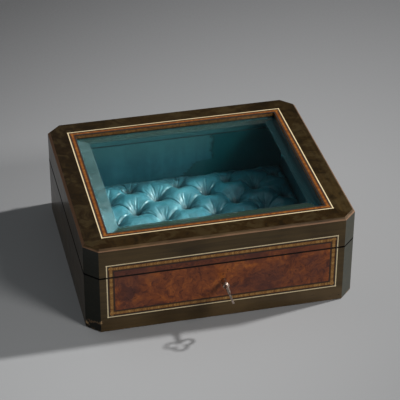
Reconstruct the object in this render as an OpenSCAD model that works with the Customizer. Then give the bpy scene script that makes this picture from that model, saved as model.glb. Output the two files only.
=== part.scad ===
// Glass-topped display box for pocket watches: a veneered case with canted
// corners, a hinged lid that frames a bevelled glass, a buttoned silk cushion
// inside, and a lock with its key. Origin at the centre of the underside,
// +Z up, the front towards -Y. Millimetres.

/* [Case] */
// Outside width of the case
case_w = 270; // [230:1:320]
// Outside depth of the case
case_d = 240; // [200:1:280]
// Height of the lid's flat top above the table
case_h = 97; // [94:1:120]
// Height of the base's rim above the table
rim_h = 63.5; // [63:0.5:66]
// Thickness of the case and lid walls
wall_t = 11; // [11:0.5:13]
// Leg of the cut across each upright corner
corner_cut = 13; // [6:0.5:16]
// Gap between the rim and the lid
seam_gap = 0.5; // [0.3:0.1:0.8]
// Thickness of the bottom board
board_t = 6; // [4:0.5:8]
// Thickness of the cloth glued under the base
cloth_t = 0.8; // [0.5:0.1:1.5]
// Distance from the case's edge to the cloth's edge
cloth_inset = 1.5; // [1:0.5:4]

/* [Lid frame] */
// Width of the mitred rails round the glass
rail_w = 27; // [24:0.5:32]
// Thickness of the rails
rail_t = 10; // [9.5:0.5:12]
// Leg of the bevel round the lid's top edge
edge_bevel = 2.4; // [1:0.1:4]
// Thickness of the lip that the glass lies under
lip_t = 5; // [3.5:0.1:5.5]
// Width of the rebate that takes the glass
rebate_w = 6; // [4:0.5:8]

/* [Glass] */
// Thickness of the glass at its middle
glass_t = 3.5; // [3:0.1:4]
// Thickness of the glass at its edge
glass_edge_t = 2; // [1.5:0.1:2.5]
// Width of the glass's sloping border
glass_bevel_w = 13; // [8:0.5:18]
// Play between the glass and the rebate's wall
glass_play = 0.5; // [0.2:0.1:1]

/* [Inlay] */
// Depth of the inlay in the face
inlay_t = 0.8; // [0.6:0.1:1]
// Width of the pale stringing
string_w = 1.5; // [1:0.1:2]
// Width of the black lines on each side of the banding
line_w = 0.9; // [0.6:0.1:1.2]
// Width of the banding round the front panel
band_w = 4.8; // [3:0.1:7]
// Width of the banding round the glass
top_band_w = 4.2; // [3:0.1:6]
// Distance from the case's side to the front panel's stringing
panel_inset = 19.5; // [17:0.5:40]
// Height of the front panel's lower edge
panel_low = 16.5; // [12:0.5:22]
// Share of the lid's wall that the front panel covers
panel_share = 0.63; // [0.5:0.01:0.8]

/* [Lining and cushion] */
// Thickness of the silk-covered lining cards
lining_t = 2; // [1.5:0.1:3]
// Height of the base's lining above the rim, where it guides the lid
lining_rise = 4.5; // [2:0.5:8]
// Clearance between the raised part and the lid
rise_gap = 0.3; // [0.2:0.1:0.6]
// Thickness of the card under the cushion
card_t = 1.5; // [1:0.1:3]
// Height of the cushion's crowns above its card
crown_h = 20; // [16:0.5:32]
// Depth of a tuft below the crowns
tuft_depth = 12; // [8:0.5:14]
// Diamonds across the cushion, in half steps
tuft_count_x = 4.5; // [3.5:0.5:5.5]
// Diamonds from front to back
tuft_count_y = 5; // [4:1:6]
// Gap between the cushion and the linings
cushion_gap = 0.3; // [0.2:0.1:0.6]
// Radius of a covered button
button_r = 3; // [2:0.1:4]

/* [Hinges] */
// Length of a hinge
hinge_l = 38; // [30:1:50]
// Distance from the case's side to a hinge's middle
hinge_inset = 57; // [40:1:70]
// Width of a hinge leaf, from the case's back face inwards
leaf_w = 9; // [8:0.5:9.5]
// Thickness of a hinge leaf
leaf_t = 1.3; // [1:0.1:1.6]
// Radius of the hinge's knuckles
knuckle_r = 2.6; // [2.3:0.1:3]
// Distance of the hinge's axis behind the back face
axis_out = 1.2; // [1:0.1:1.6]
// Radius of the hinge pin
hinge_pin_r = 1.1; // [0.9:0.1:1.3]

/* [Lock and key] */
// Distance of the key's axis below the base's rim
key_drop = 20; // [18:0.5:23]
// Lean of the key's bow from upright, as it is left in the lock
key_lean = 19.5; // [0:0.5:30]
// Half the length of the lock's rim plate and of the strike plate
plate_half = 30; // [28:1:34]
// Thickness of the lock's sheet brass
sheet_t = 1.2; // [1:0.1:1.5]
// Radius of the key's shank
shank_r = 2; // [1.8:0.1:2.2]
// Radius of the drill pin that the key's pipe turns on
drill_r = 1; // [0.8:0.1:1.1]
// Reach of the key's bit from its axis
bit_r = 7.2; // [6:0.1:7.5]
// Width across the key's bow
bow_w = 20.5; // [16:0.5:24]
// Distance from the front face to the end of the bow
key_out = 36.5; // [34:0.5:40]

/* [Screws] */
// Radius of a screw's head
head_r = 2; // [1.6:0.1:2.2]
// Radius of a screw's shank
screw_r = 1; // [0.8:0.1:1.2]
// Length of a screw
screw_l = 9; // [7:0.5:12]

/* [Hidden] */

// Numbers that shape small parts
fit_gap = 0.3;        // clearance round what is let into wood
run_gap = 0.05;       // radial clearance of a turning fit
slide_gap = 0.15;     // clearance of a sliding fit
cut = 1;              // overshoot of a cutting tool
round_fn = 48;        // facets of a drawn circle
slot_w = 0.5;         // screwdriver slot
slot_depth = 0.4;

// Heights
lid_low = rim_h + seam_gap;
rail_low = case_h - rail_t;
key_h = rim_h - key_drop;
panel_high = lid_low + panel_share * (rail_low - lid_low);
board_top = cloth_t + board_t;
card_top = board_top + card_t;

// The four sides, each drawn as the front and turned into place
SIDES = ["front", "back", "left", "right"];
function side_len(side) = (side == "front" || side == "back") ? case_w : case_d;
function side_dep(side) = (side == "front" || side == "back") ? case_d : case_w;
function side_turn(side) = side == "front" ? 0 : side == "back" ? 180 : side == "left" ? -90 : 90;

module on_side(side) {
    rotate([0, 0, side_turn(side)]) children();
}

// Plan of one mitred side of a ring, whose outer corners are cut off
module canted_plan(len, dep, t, c) {
    polygon([
        [-len / 2 + c, -dep / 2], [len / 2 - c, -dep / 2],
        [len / 2 - c / 2, -dep / 2 + c / 2], [len / 2 - t, -dep / 2 + t],
        [-len / 2 + t, -dep / 2 + t], [-len / 2 + c / 2, -dep / 2 + c / 2]
    ]);
}

// Plan of one mitred strip of a square-cornered ring, from inset a to inset b
module mitred_plan(len, dep, a, b) {
    polygon([
        [-len / 2 + a, -dep / 2 + a], [len / 2 - a, -dep / 2 + a],
        [len / 2 - b, -dep / 2 + b], [-len / 2 + b, -dep / 2 + b]
    ]);
}

module side_wall(side, low, high) {
    on_side(side)
        translate([0, 0, low])
            linear_extrude(high - low)
                canted_plan(side_len(side), side_dep(side), wall_t, corner_cut);
}

module side_strip(side, a, b, low, high) {
    on_side(side)
        translate([0, 0, low])
            linear_extrude(high - low)
                mitred_plan(side_len(side), side_dep(side), a, b);
}

// An upright sheet on the front face, drawn in x and height, from depth a to depth b
module on_front(a, b) {
    translate([0, b - case_d / 2, 0])
        rotate([90, 0, 0])
            linear_extrude(b - a)
                children();
}

// Countersunk wood screw, its head's face at the origin, pointing down
head_l = head_r - screw_r + 0.4;
module screw() {
    difference() {
        union() {
            translate([0, 0, -head_l])
                cylinder(h = head_l, r1 = screw_r, r2 = head_r, $fn = round_fn);
            translate([0, 0, head_l - screw_l])
                cylinder(h = screw_l - 2 * head_l, r = screw_r, $fn = round_fn);
            translate([0, 0, -screw_l])
                cylinder(h = head_l, r1 = 0.2, r2 = screw_r, $fn = round_fn);
        }
        translate([-head_r - cut, -slot_w / 2, -slot_depth])
            cube([2 * (head_r + cut), slot_w, slot_depth + cut]);
    }
}

// The hole that a screw needs, a little larger than the screw all over
module screw_hole() {
    ease = run_gap;
    translate([0, 0, -head_l])
        cylinder(h = head_l, r1 = screw_r + ease, r2 = head_r + ease, $fn = round_fn);
    cylinder(h = cut, r = head_r + ease, $fn = round_fn);
    translate([0, 0, -screw_l - ease])
        cylinder(h = screw_l + ease, r = screw_r + ease, $fn = round_fn);
}

// Front panel: stringing, black line, banding, black line, then burr veneer
line_a = string_w;
band_a = line_a + line_w;
band_b = band_a + band_w;
burr_a = band_b + line_w;
panel_half = case_w / 2 - panel_inset;

// The panel's border strips from inset a to inset b: an end strip and two uprights,
// which run from the panel's edge at height end to the seam at height stop
module panel_strips(end, stop, a, b) {
    way = stop > end ? 1 : -1;
    low_a = end + way * a;
    low_b = end + way * b;
    on_front(0, inlay_t)
        polygon([
            [-panel_half + a, low_a], [panel_half - a, low_a],
            [panel_half - b, low_b], [-panel_half + b, low_b]
        ]);
    for (s = [-1, 1])
        on_front(0, inlay_t)
            polygon([
                [s * (panel_half - a), low_a], [s * (panel_half - b), low_b],
                [s * (panel_half - b), stop], [s * (panel_half - a), stop]
            ]);
}

module panel_field(low, high, a) {
    on_front(0, inlay_t)
        polygon([
            [-panel_half + a, low], [panel_half - a, low],
            [panel_half - a, high], [-panel_half + a, high]
        ]);
}

module panel_pocket() {
    on_front(-cut, inlay_t)
        polygon([
            [-panel_half, panel_low], [panel_half, panel_low],
            [panel_half, panel_high], [-panel_half, panel_high]
        ]);
}

// Keyhole: a round hole for the shank over a slot for the bit
hole_r = shank_r + fit_gap;
slot_half = 1.2;
module keyhole(a, b) {
    translate([0, b - case_d / 2, key_h])
        rotate([90, 0, 0])
            cylinder(h = b - a, r = hole_r, $fn = round_fn);
    on_front(a, b)
        polygon([
            [-slot_half, key_h - bit_r - fit_gap], [slot_half, key_h - bit_r - fit_gap],
            [slot_half, key_h], [-slot_half, key_h]
        ]);
}

// Lock, let into the front wall from inside. Depths are measured from the front face.
cover_a = 2.9;                          // outer face of the cover
cover_b = cover_a + 1;                  // inner face of the cover
lock_b = wall_t;                        // inner face of the lock plate, flush with the wall
lock_a = lock_b - sheet_t;              // its outer face
lock_half = 24;                         // half width of the works
lock_low = key_h - bit_r - 3;           // lower edge of the works
rim_plate_t = 1.6;                      // thickness of the plate let into the rim
post_r = 1.5;
post_x = lock_half - 3;
post_heights = [lock_low + 3, rim_h - 6.5];
throw = 4.5;                            // travel of the bolt
drill_l = lock_b - 1;                   // the drill pin ends just inside the face
loop_x = 9;                             // place of the strike's two loops
loop_t = 1.8;
loop_mid = (cover_b + lock_a) / 2 + 0.1; // depth of the loops' middle
loop_half = 2.1;
loop_hole_half = 1.2;
loop_drop = 8.5;                        // reach of the loops below the rim
plate_screw_x = plate_half - 3.5;

module at_depth(x, depth, z) {
    translate([x, depth - case_d / 2, z]) children();
}

module lock_pocket() {
    at_depth(-lock_half - fit_gap, cover_a - fit_gap, lock_low - fit_gap)
        cube([2 * (lock_half + fit_gap), wall_t - cover_a + fit_gap + cut, rim_h - lock_low + cut]);
    at_depth(-plate_half - fit_gap, cover_a - fit_gap, rim_h - rim_plate_t)
        cube([2 * (plate_half + fit_gap), wall_t - cover_a + fit_gap + cut, rim_plate_t + cut]);
    for (s = [-1, 1])
        at_depth(s * plate_screw_x, (cover_a + lock_b) / 2, rim_h)
            screw_hole();
}

module front_wall() {
    color([0.13, 0.09, 0.06])
        difference() {
            side_wall("front", cloth_t, rim_h);
            panel_pocket();
            lock_pocket();
            keyhole(-cut, cover_a);
        }
}

// Hinges on the back: the axis lies behind the back face, at the middle of the seam
hinge_x = case_w / 2 - hinge_inset;
axis_y = case_d / 2 + axis_out;
axis_z = rim_h + seam_gap / 2;
knuckles = 5;
knuckle_l = hinge_l / knuckles;
leaf_screws = [-0.34, 0, 0.34];          // places along a leaf, in lengths of the hinge
leaf_screw_y = case_d / 2 - leaf_w / 2 - 0.8;

module at_hinge(s) {
    translate([s * hinge_x, axis_y, axis_z]) children();
}

// The room that a hinge needs in the walls: a trough for the knuckles and a bed for the leaf
module hinge_bed(s, face, up) {
    at_hinge(s)
        rotate([0, 90, 0])
            cylinder(h = hinge_l + 2 * fit_gap, r = knuckle_r + fit_gap, center = true, $fn = round_fn);
    low = up > 0 ? face - cut : face - leaf_t;
    translate([s * hinge_x - hinge_l / 2 - fit_gap / 2, case_d / 2 - leaf_w, low])
        cube([hinge_l + fit_gap, leaf_w + cut, leaf_t + cut]);
    for (k = leaf_screws)
        translate([s * hinge_x + k * hinge_l, leaf_screw_y, face])
            rotate([up > 0 ? 180 : 0, 0, 0])
                screw_hole();
}

module hinge_leaf(s, face, up, first) {
    low = up > 0 ? face : face - leaf_t;
    color([0.72, 0.53, 0.25])
        difference() {
            union() {
                translate([s * hinge_x - hinge_l / 2, case_d / 2 - leaf_w + fit_gap / 2, low])
                    cube([hinge_l, leaf_w - fit_gap / 2 + axis_out - knuckle_r - fit_gap, leaf_t]);
                for (k = [first:2:knuckles - 1]) {
                    x = s * hinge_x - hinge_l / 2 + k * knuckle_l + slide_gap / 2;
                    translate([x, axis_y, axis_z])
                        rotate([0, 90, 0])
                            cylinder(h = knuckle_l - slide_gap, r = knuckle_r, $fn = round_fn);
                    translate([x, axis_y - knuckle_r - 1, low])
                        cube([knuckle_l - slide_gap, knuckle_r + 1, leaf_t]);
                }
            }
            at_hinge(s)
                rotate([0, 90, 0])
                    cylinder(h = hinge_l + 2 * cut, r = hinge_pin_r + run_gap, center = true, $fn = round_fn);
            for (k = leaf_screws)
                translate([s * hinge_x + k * hinge_l, leaf_screw_y, face])
                    rotate([up > 0 ? 180 : 0, 0, 0])
                        screw_hole();
        }
}

module leaf_screw_set(face, up) {
    color([0.66, 0.5, 0.26])
        for (s = [-1, 1], k = leaf_screws)
            translate([s * hinge_x + k * hinge_l, leaf_screw_y, face])
                rotate([up > 0 ? 180 : 0, 0, 0])
                    screw();
}

module hinge_pins() {
    color([0.6, 0.45, 0.22])
        for (s = [-1, 1])
            at_hinge(s)
                rotate([0, 90, 0])
                    cylinder(h = hinge_l, r = hinge_pin_r, center = true, $fn = round_fn);
}

module back_wall() {
    color([0.13, 0.09, 0.06])
        difference() {
            side_wall("back", cloth_t, rim_h);
            for (s = [-1, 1])
                hinge_bed(s, rim_h, -1);
        }
}

module plain_wall(side) {
    color([0.13, 0.09, 0.06])
        side_wall(side, cloth_t, rim_h);
}

module bottom_board() {
    color([0.42, 0.3, 0.18])
        translate([-case_w / 2 + wall_t, -case_d / 2 + wall_t, cloth_t])
            cube([case_w - 2 * wall_t, case_d - 2 * wall_t, board_t]);
}

module base_cloth() {
    a = case_w / 2 - cloth_inset;
    b = case_d / 2 - cloth_inset;
    color([0.08, 0.12, 0.09])
        linear_extrude(cloth_t)
            polygon([
                [-a + corner_cut, -b], [a - corner_cut, -b], [a, -b + corner_cut], [a, b - corner_cut],
                [a - corner_cut, b], [-a + corner_cut, b], [-a, b - corner_cut], [-a, -b + corner_cut]
            ]);
}

module base_burr_panel() {
    color([0.36, 0.16, 0.08])
        difference() {
            panel_field(panel_low + burr_a, rim_h, burr_a);
            keyhole(-cut, cover_a);
        }
}

module base_border(a, b) {
    panel_strips(panel_low, rim_h, a, b);
}

// Lining card covered with silk, along the inside of a wall and gap away from it: one edge is round
function lining_len(side, gap) =
    side_len(side) - 2 * wall_t - 2 * max((side == "front" || side == "back") ? 0 : lining_t, gap);

module lining(side, low, high, gap, round_top) {
    length = lining_len(side, gap);
    r = (lining_t - gap) / 2;
    color([0.25, 0.45, 0.5])
        on_side(side)
            translate([-length / 2, wall_t + gap - side_dep(side) / 2, 0])
                rotate([90, 0, 90])
                    linear_extrude(length) {
                        translate([0, round_top ? low : low + r])
                            square([2 * r, high - low - r]);
                        translate([r, round_top ? high - r : low + r])
                            circle(r = r, $fn = round_fn);
                    }
}

// The base's lining stands above the rim to guide the lid, and is thinner there to clear it
module base_lining(side) {
    length = lining_len(side, 0);
    lining(side, board_top, rim_h + lining_rise, rise_gap, true);
    color([0.25, 0.45, 0.5])
        on_side(side)
            translate([-length / 2, wall_t - side_dep(side) / 2, board_top])
                cube([length, lining_t, rim_h - board_top]);
}

// Buttoned cushion: a crowned pad whose tufts lie on a diamond grid
cushion_w = case_w - 2 * (wall_t + lining_t + cushion_gap);
cushion_d = case_d - 2 * (wall_t + lining_t + cushion_gap);
pitch_x = cushion_w / tuft_count_x;
pitch_y = cushion_d / tuft_count_y;
edge_roll = 9;                          // width over which the pad's edge rounds down
edge_drop = 7;                          // how far it rounds down
cells_x = 8 * tuft_count_x;
cells_y = 6 * tuft_count_y;

function hump(t) = 4 * t * (1 - t);
function part_of(t) = t - floor(t);
// Height of the silk, from the diamond that x and y lie in: 0 at a button, 1 on a crown
function puff(x, y) =
    let (a = x / pitch_x + y / pitch_y, b = x / pitch_x - y / pitch_y)
    sqrt((hump(part_of(a)) + hump(part_of(b))) / 2);
function roll(x, y) =
    let (near = min(cushion_w / 2 - abs(x), cushion_d / 2 - abs(y)), t = max(0, 1 - near / edge_roll))
    edge_drop * t * t;
function silk_height(x, y) = card_top + max(2, crown_h - tuft_depth * (1 - puff(x, y)) - roll(x, y));

module cushion() {
    xs = [for (i = [0:cells_x]) -cushion_w / 2 + i * cushion_w / cells_x];
    ys = [for (j = [0:cells_y]) -cushion_d / 2 + j * cushion_d / cells_y];
    row = cells_x + 1;
    top = [for (y = ys, x = xs) [x, y, silk_height(x, y)]];
    feet = [for (y = [-1, 1], x = [-1, 1]) [x * cushion_w / 2, y * cushion_d / 2, card_top]];
    n = len(top);
    function at(i, j) = j * row + i;
    color([0.35, 0.6, 0.68])
        polyhedron(
            points = concat(top, feet),
            faces = concat(
                [for (j = [0:cells_y - 1], i = [0:cells_x - 1], half = [0, 1])
                    half == 0
                        ? [at(i, j), at(i, j + 1), at(i + 1, j + 1)]
                        : [at(i, j), at(i + 1, j + 1), at(i + 1, j)]],
                [concat([n], [for (i = [0:cells_x]) at(i, 0)], [n + 1])],
                [concat([n + 1], [for (j = [0:cells_y]) at(cells_x, j)], [n + 3])],
                [concat([n + 3], [for (i = [cells_x:-1:0]) at(i, cells_y)], [n + 2])],
                [concat([n + 2], [for (j = [cells_y:-1:0]) at(0, j)], [n])],
                [[n, n + 1, n + 3, n + 2]]
            )
        );
}

module cushion_card() {
    color([0.5, 0.45, 0.36])
        translate([-cushion_w / 2, -cushion_d / 2, board_top])
            cube([cushion_w, cushion_d, card_t]);
}

// The diamond grid's points that lie well inside the pad
button_spots = [
    for (i = [-6:6], j = [-6:6])
        let (x = (i + j) * pitch_x / 2, y = (i - j) * pitch_y / 2)
        if (abs(x) < cushion_w / 2 - edge_roll && abs(y) < cushion_d / 2 - edge_roll) [x, y]
];

module cushion_buttons() {
    dome_h = 1.6;
    color([0.24, 0.45, 0.52])
        for (p = button_spots)
            translate([p[0], p[1], silk_height(p[0], p[1])])
                rotate_extrude($fn = round_fn)
                    intersection() {
                        translate([0, dome_h - button_r * 1.2])
                            circle(r = button_r * 1.2, $fn = round_fn);
                        square([button_r, dome_h]);
                    }
}

// Lock plate with its posts and the rim plate, whose two slots take the strike's loops
module lock_plate() {
    color([0.7, 0.53, 0.27])
        difference() {
            union() {
                at_depth(-lock_half, lock_a, lock_low)
                    cube([2 * lock_half, sheet_t, rim_h - lock_low]);
                at_depth(-plate_half, cover_a, rim_h - rim_plate_t)
                    cube([2 * plate_half, lock_b - cover_a, rim_plate_t]);
                for (s = [-1, 1], z = post_heights)
                    at_depth(s * post_x, lock_a + 0.2, z)
                        rotate([90, 0, 0])
                            cylinder(h = lock_a - cover_b + 0.2, r = post_r, $fn = round_fn);
            }
            for (s = [-1, 1]) {
                at_depth(s * loop_x - loop_t / 2 - fit_gap, loop_mid - loop_half - 2 * fit_gap, rim_h - rim_plate_t - cut)
                    cube([loop_t + 2 * fit_gap, 2 * loop_half + 3 * fit_gap, rim_plate_t + 2 * cut]);
                at_depth(s * plate_screw_x, (cover_a + lock_b) / 2, rim_h)
                    screw_hole();
            }
            at_depth(0, lock_b + cut, key_h)
                rotate([90, 0, 0])
                    cylinder(h = sheet_t + 2 * cut, r = drill_r, $fn = round_fn);
        }
}

module lock_cover() {
    color([0.42, 0.42, 0.43])
        difference() {
            at_depth(-lock_half + 0.5, cover_a, lock_low)
                cube([2 * lock_half - 1, cover_b - cover_a, rim_h - rim_plate_t - slide_gap - lock_low]);
            keyhole(cover_a - cut, cover_b + cut);
        }
}

module drill_pin() {
    color([0.5, 0.5, 0.52])
        at_depth(0, lock_b, key_h)
            rotate([90, 0, 0])
                cylinder(h = drill_l, r = drill_r, $fn = round_fn);
}

// Bolt: a bar with two fingers, which enter the strike's loops, and a talon cut that the
// bit works in. The cut is long enough for the bit's circle at both ends of the travel.
bolt_t = 2.8;
bar_low = key_h + 3.6;
bar_high = rim_h - loop_drop - 0.6;
talon_r = bit_r + 0.5;
finger_low = rim_h - loop_drop + 1.7;
finger_high = finger_low + 2.2;
finger_tip = loop_x + loop_t / 2 + 0.6; // end of a withdrawn finger
finger_l = throw + 2.4;                 // from the tip to the far side of its root
root_w = 2.2;
bar_left = -talon_r - 3.2;
bar_right = finger_tip + finger_l;
module lock_bolt() {
    bar_a = lock_a - slide_gap - bolt_t;
    finger_t = 1.7;
    color([0.55, 0.55, 0.56])
        difference() {
            union() {
                at_depth(bar_left, bar_a, bar_low)
                    cube([bar_right - bar_left, bolt_t, bar_high - bar_low]);
                for (x = [finger_tip, finger_tip - 2 * loop_x]) {
                    at_depth(x + finger_l - root_w, bar_a, bar_high - 1)
                        cube([root_w, bolt_t, finger_high - bar_high + 1]);
                    at_depth(x, loop_mid - finger_t / 2, finger_low)
                        cube([finger_l, finger_t, finger_high - finger_low]);
                }
            }
            for (x = [-0.4, throw])
                at_depth(x, bar_a + bolt_t + cut, key_h)
                    rotate([90, 0, 0])
                        cylinder(h = bolt_t + 2 * cut, r = talon_r, $fn = round_fn);
            at_depth(-0.4, bar_a - cut, key_h)
                cube([throw + 0.4, bolt_t + 2 * cut, talon_r]);
        }
}

// Leaf spring on the lock plate, which bears on the bolt's longer leg from below
spring_x = bar_right - 2.6;
module bolt_spring() {
    span = 11;
    rise = 1.4;
    arc_r = (span * span / 4 + rise * rise) / (2 * rise);
    strip = 0.5;
    color([0.35, 0.37, 0.4])
        at_depth(spring_x, lock_a, bar_low - slide_gap - arc_r)
            rotate([90, 0, 0])
                linear_extrude(2.4)
                    intersection() {
                        difference() {
                            circle(r = arc_r, $fn = 96);
                            circle(r = arc_r - strip, $fn = 96);
                        }
                        translate([-span / 2, arc_r - rise - strip])
                            square([span, rise + 2 * strip]);
                    }
}

module lock_screws() {
    color([0.66, 0.5, 0.26])
        for (s = [-1, 1])
            at_depth(s * plate_screw_x, (cover_a + lock_b) / 2, rim_h)
                screw();
}

// Key, drawn along its axis with the bow at +z and the bit below -z, then laid into the lock
pipe_end = 9.4;                         // depth of the pipe's mouth behind the front face
pipe_l = 11;                            // depth of the pipe's bore
bit_a = 4.6;                            // depth of the bit's outer side
bit_b = 8.9;                            // depth of its inner side
collar_out = 10;                        // distance of the collar's middle in front of the face
bow_t = 1.9;
lobe_r = bow_w / 4;
ring_t = 1.9;                           // width of the bow's ring
module key() {
    lobe_in = lobe_r - ring_t;
    tip = key_out - lobe_r;             // centre of the end lobe
    side_at = tip - lobe_r * 1.15;      // centre of the side lobes
    neck_at = side_at - lobe_r + 0.6;   // where the bow meets the stem
    color([0.55, 0.45, 0.38])
        translate([0, -case_d / 2, key_h])
            rotate([0, -key_lean, 0])
                rotate([90, 0, 0]) {
                    difference() {
                        union() {
                            // shank, collar and stem, turned as one
                            rotate_extrude($fn = round_fn)
                                polygon([
                                    [0, -pipe_end], [shank_r, -pipe_end], [shank_r, collar_out - 2.6],
                                    [shank_r + 0.9, collar_out - 2.2], [shank_r + 0.9, collar_out - 1.5],
                                    [shank_r + 0.2, collar_out - 1.1], [shank_r + 1.3, collar_out - 0.3],
                                    [shank_r + 1.3, collar_out + 0.6], [shank_r + 0.2, collar_out + 1.5],
                                    [shank_r - 0.4, neck_at], [shank_r - 0.6, neck_at + 1.4], [0, neck_at + 1.4]
                                ]);
                            // trefoil bow, in the plane of the bit
                            translate([-bow_t / 2, 0, 0])
                                rotate([90, 0, 90])
                                    linear_extrude(bow_t)
                                        difference() {
                                            union() {
                                                for (s = [-1, 1])
                                                    translate([s * (bow_w / 2 - lobe_r), side_at])
                                                        circle(r = lobe_r, $fn = round_fn);
                                                translate([0, tip])
                                                    circle(r = lobe_r, $fn = round_fn);
                                            }
                                            for (s = [-1, 1])
                                                translate([s * (bow_w / 2 - lobe_r), side_at])
                                                    circle(r = lobe_in, $fn = round_fn);
                                            translate([0, tip])
                                                circle(r = lobe_in, $fn = round_fn);
                                            translate([0, side_at + lobe_r * 0.45])
                                                circle(r = lobe_in * 0.9, $fn = round_fn);
                                        }
                        }
                        translate([0, 0, -pipe_end - cut])
                            cylinder(h = pipe_l + cut, r = drill_r + 2 * run_gap, $fn = round_fn);
                    }
                }
}

// The bit's own plate, with a step cut for the lock's ward
module key_bit() {
    color([0.55, 0.45, 0.38])
        translate([0, -case_d / 2, key_h])
            rotate([0, -key_lean, 0])
                difference() {
                    translate([-0.9, bit_a, -bit_r])
                        cube([1.8, bit_b - bit_a, bit_r - shank_r + 0.3]);
                    translate([-cut, bit_a + 1.5, -bit_r - cut])
                        cube([2 * cut, 1.2, cut + 1.6]);
                }
}

// Lid
module lid_wall(side) {
    color([0.13, 0.09, 0.06])
        side_wall(side, lid_low, rail_low);
}

module strike_bed() {
    at_depth(-plate_half - fit_gap, cover_a - fit_gap, lid_low - cut)
        cube([2 * (plate_half + fit_gap), lock_b - cover_a + 2 * fit_gap, sheet_t + cut]);
    for (s = [-1, 1])
        at_depth(s * plate_screw_x, (cover_a + lock_b) / 2, lid_low)
            rotate([180, 0, 0])
                screw_hole();
}

module lid_front_wall() {
    color([0.13, 0.09, 0.06])
        difference() {
            side_wall("front", lid_low, rail_low);
            panel_pocket();
            strike_bed();
        }
}

module lid_back_wall() {
    color([0.13, 0.09, 0.06])
        difference() {
            side_wall("back", lid_low, rail_low);
            for (s = [-1, 1])
                hinge_bed(s, lid_low, 1);
        }
}

// Mitred rail of the lid's frame: bevelled outer edge, rebate for the glass, bed for the inlay
top_inlay = rail_w - string_w - 2 * line_w - top_band_w; // inset of the stringing
module rail(side) {
    len = side_len(side);
    dep = side_dep(side);
    reach = corner_cut;
    color([0.13, 0.09, 0.06])
        on_side(side)
            difference() {
                intersection() {
                    translate([0, 0, rail_low])
                        linear_extrude(rail_t)
                            canted_plan(len, dep, rail_w, corner_cut);
                    translate([-len / 2, -dep / 2, 0])
                        rotate([90, 0, 90])
                            linear_extrude(len)
                                polygon([
                                    [0, rail_low], [0, case_h - edge_bevel], [edge_bevel, case_h],
                                    [top_inlay, case_h], [top_inlay, case_h - inlay_t],
                                    [rail_w, case_h - inlay_t], [rail_w, case_h - lip_t],
                                    [rail_w - rebate_w, case_h - lip_t], [rail_w - rebate_w, rail_low]
                                ]);
                }
                // the same bevel along the cut corners
                for (s = [-1, 1])
                    translate([s * (len / 2 - corner_cut / 2), -dep / 2 + corner_cut / 2, 0])
                        rotate([0, 0, s * 45])
                            translate([-reach, 0, 0])
                                rotate([90, 0, 90])
                                    linear_extrude(2 * reach)
                                        polygon([
                                            [-cut, case_h - edge_bevel - cut], [edge_bevel + cut, case_h + cut],
                                            [-cut, case_h + cut]
                                        ]);
            }
}

// Strips round the glass, inlaid on the rails
module top_ring(a, b) {
    for (side = SIDES)
        side_strip(side, a, b, case_h - inlay_t, case_h);
}

// Bevelled glass under the lip: the overlap of two long profiles
glass_half_w = case_w / 2 - rail_w + rebate_w - glass_play;
glass_half_d = case_d / 2 - rail_w + rebate_w - glass_play;
glass_low = case_h - lip_t - glass_edge_t;
land_w = rebate_w - glass_play + 0.3;   // flat border that lies under the lip
module glass_profile(half) {
    flat = half - land_w;
    polygon([
        [-half, 0], [half, 0], [half, glass_edge_t], [flat, glass_edge_t],
        [flat - glass_bevel_w, glass_t], [glass_bevel_w - flat, glass_t],
        [-flat, glass_edge_t], [-half, glass_edge_t]
    ]);
}

module glass() {
    color([0.75, 0.88, 0.88, 0.35])
        translate([0, 0, glass_low])
            intersection() {
                translate([0, glass_half_d, 0])
                    rotate([90, 0, 0])
                        linear_extrude(2 * glass_half_d)
                            glass_profile(glass_half_w);
                translate([-glass_half_w, 0, 0])
                    rotate([90, 0, 90])
                        linear_extrude(2 * glass_half_w)
                            glass_profile(glass_half_d);
            }
}

// Mitred bead that holds the glass up in the rebate
module glass_bead(side) {
    color([0.25, 0.45, 0.5])
        side_strip(side, rail_w - rebate_w, rail_w - 0.5, rail_low, glass_low);
}

module lid_lining(side) {
    lining(side, rim_h + lining_rise + seam_gap, rail_low, 0, false);
}

// Strike plate in the lid's rim
module strike_plate() {
    color([0.7, 0.53, 0.27])
        difference() {
            at_depth(-plate_half, cover_a, lid_low)
                cube([2 * plate_half, lock_b - cover_a, sheet_t]);
            for (s = [-1, 1])
                at_depth(s * plate_screw_x, (cover_a + lock_b) / 2, lid_low)
                    rotate([180, 0, 0])
                        screw_hole();
        }
}

// The two loops on the strike plate, which drop into the lock for the bolt's fingers
module strike_loops() {
    color([0.72, 0.55, 0.3])
        for (s = [-1, 1])
            difference() {
                at_depth(s * loop_x - loop_t / 2, loop_mid - loop_half, rim_h - loop_drop)
                    cube([loop_t, 2 * loop_half, loop_drop + seam_gap]);
                at_depth(s * loop_x - loop_t, loop_mid - loop_hole_half, finger_low - fit_gap)
                    cube([2 * loop_t, 2 * loop_hole_half, finger_high - finger_low + 2 * fit_gap]);
            }
}

module strike_screws() {
    color([0.66, 0.5, 0.26])
        for (s = [-1, 1])
            at_depth(s * plate_screw_x, (cover_a + lock_b) / 2, lid_low)
                rotate([180, 0, 0])
                    screw();
}

module pale(a, b) { color([0.78, 0.68, 0.48]) children(); }
module banded() { color([0.5, 0.28, 0.1]) children(); }
module black() { color([0.05, 0.04, 0.03]) children(); }

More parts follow.
